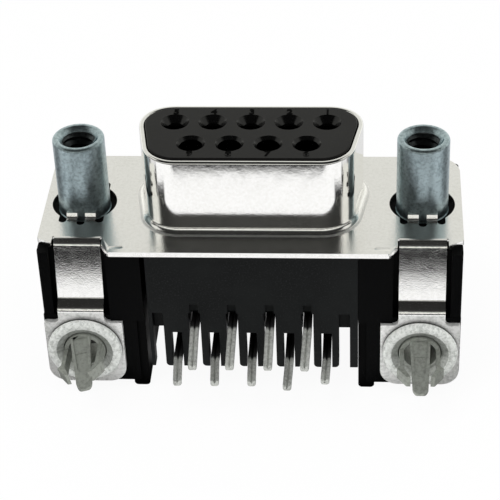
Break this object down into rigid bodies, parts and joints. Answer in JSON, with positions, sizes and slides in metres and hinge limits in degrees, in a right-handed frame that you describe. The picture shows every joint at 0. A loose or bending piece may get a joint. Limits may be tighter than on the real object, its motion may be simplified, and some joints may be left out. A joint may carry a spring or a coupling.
{
  "type": "d-sub connector",
  "caption": "Right-angle D-sub socket connector with a plated front shell, threaded posts, board locks and bent solder tails behind a black comb.",
  "frame": {"origin": "on the axis of the D-shaped cup, in the plane of the flange's front face", "axes": "+Z out of the mating face, -Y towards the circuit board, +X to the right of the mating face with the board side nearest"},
  "size_m": [0.0308, 0.017, 0.0192],
  "materials": {
    "plated_shell": "bright, satin plating",
    "face_plastic": "matte",
    "housing_plastic": "matte",
    "tinned_contact": "matte tin plating",
    "zinc_post": "satin zinc plating",
    "rolled_eyelet": "satin tin plating",
    "tinned_lock": "matte tin plating"
  },
  "bodies": {
    "root": {"front_shell": "plated_shell", "face_insulator": "face_plastic", "contact_block": "housing_plastic", "bracket": "housing_plastic", "contact_1": "tinned_contact", "contact_2": "tinned_contact", "contact_3": "tinned_contact", "contact_4": "tinned_contact", "contact_5": "tinned_contact", "contact_6": "tinned_contact", "contact_7": "tinned_contact", "contact_8": "tinned_contact", "contact_9": "tinned_contact", "screwlock_left": "zinc_post", "eyelet_left": "rolled_eyelet", "boardlock_left": "tinned_lock", "screwlock_right": "zinc_post", "eyelet_right": "rolled_eyelet", "boardlock_right": "tinned_lock"}
  },
  "joints": []
}
